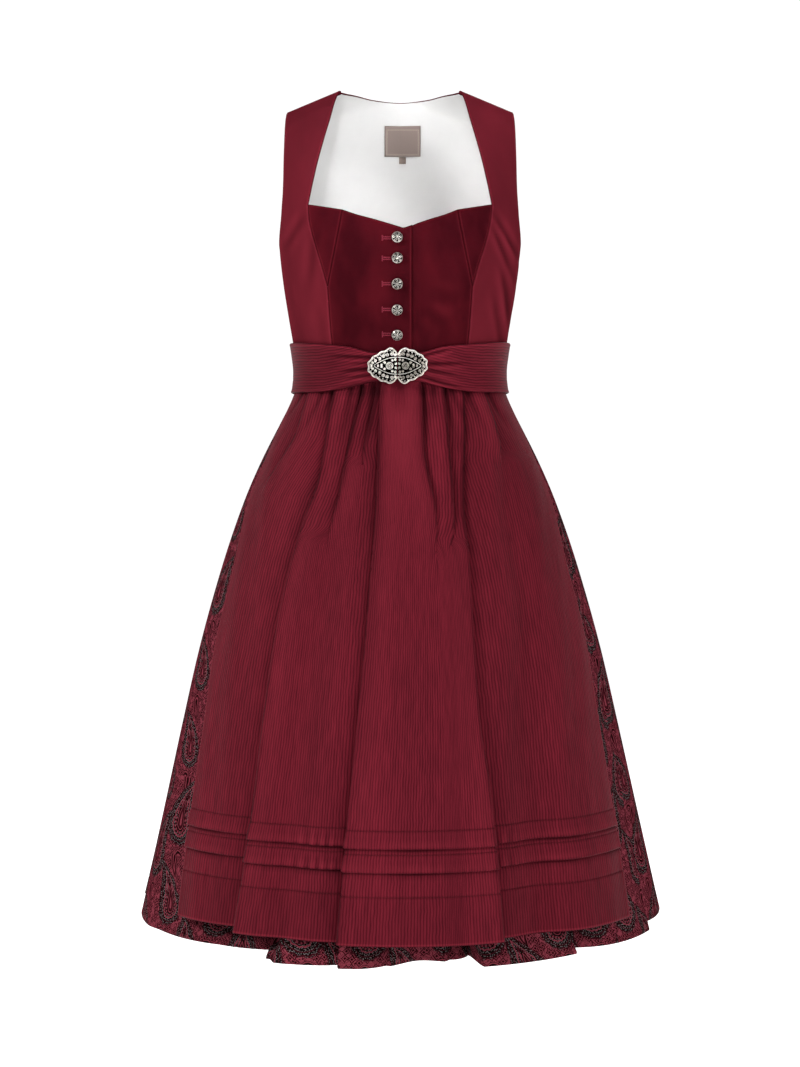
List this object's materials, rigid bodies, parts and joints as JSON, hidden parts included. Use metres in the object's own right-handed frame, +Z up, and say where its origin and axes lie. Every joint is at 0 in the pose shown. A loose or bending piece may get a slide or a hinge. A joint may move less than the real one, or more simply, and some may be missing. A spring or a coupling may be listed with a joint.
{
  "type": "dirndl",
  "caption": "Sleeveless midi dirndl with a heart-shaped neckline, filigree buttons, paisley skirt and tucked apron with a filigree clasp, hollow and filled out as worn.",
  "frame": {"origin": "midway between the two straps at mid-shoulder height, where the wearer's shoulders carry the garment", "axes": "+X to the wearer's left, -Y to the front, +Z up"},
  "size_m": [0.6656, 0.652, 1.0475],
  "materials": {
    "dark_velvet": "deep red cotton velvet of the centre front, short dense pile",
    "side_velvet": "deep red cotton velvet of the sides and straps, nap brushed the other way",
    "ribbed_silk": "wine-red corded silk blend, satin sheen between fine cords",
    "paisley_cotton": "printed cotton with traditional paisley in dusty pink on dark brown",
    "lining_cotton": "pale grey-white cotton lining",
    "label_satin": "taupe woven label, bare",
    "old_silver": "antique silver plate, dark in the hollows and worn bright on top"
  },
  "bodies": {
    "root": {"centre_front_right": "dark_velvet", "bust_inset_right": "dark_velvet", "side_front_right": "side_velvet", "side_back_right": "side_velvet", "lining_side_right": "lining_cotton", "centre_front_left": "dark_velvet", "bust_inset_left": "dark_velvet", "side_front_left": "side_velvet", "side_back_left": "side_velvet", "lining_side_left": "lining_cotton", "back_centre": "side_velvet", "lining_centre": "lining_cotton", "neck_label": "label_satin", "label_tab": "label_satin", "skirt_front": "paisley_cotton", "skirt_left": "paisley_cotton", "skirt_back": "paisley_cotton", "skirt_right": "paisley_cotton", "apron": "ribbed_silk", "apron_band_right": "ribbed_silk", "clasp_right": "old_silver", "apron_band_left": "ribbed_silk", "clasp_left": "old_silver", "button_1": "old_silver", "button_2": "old_silver", "button_3": "old_silver", "button_4": "old_silver", "button_5": "old_silver"}
  },
  "joints": []
}
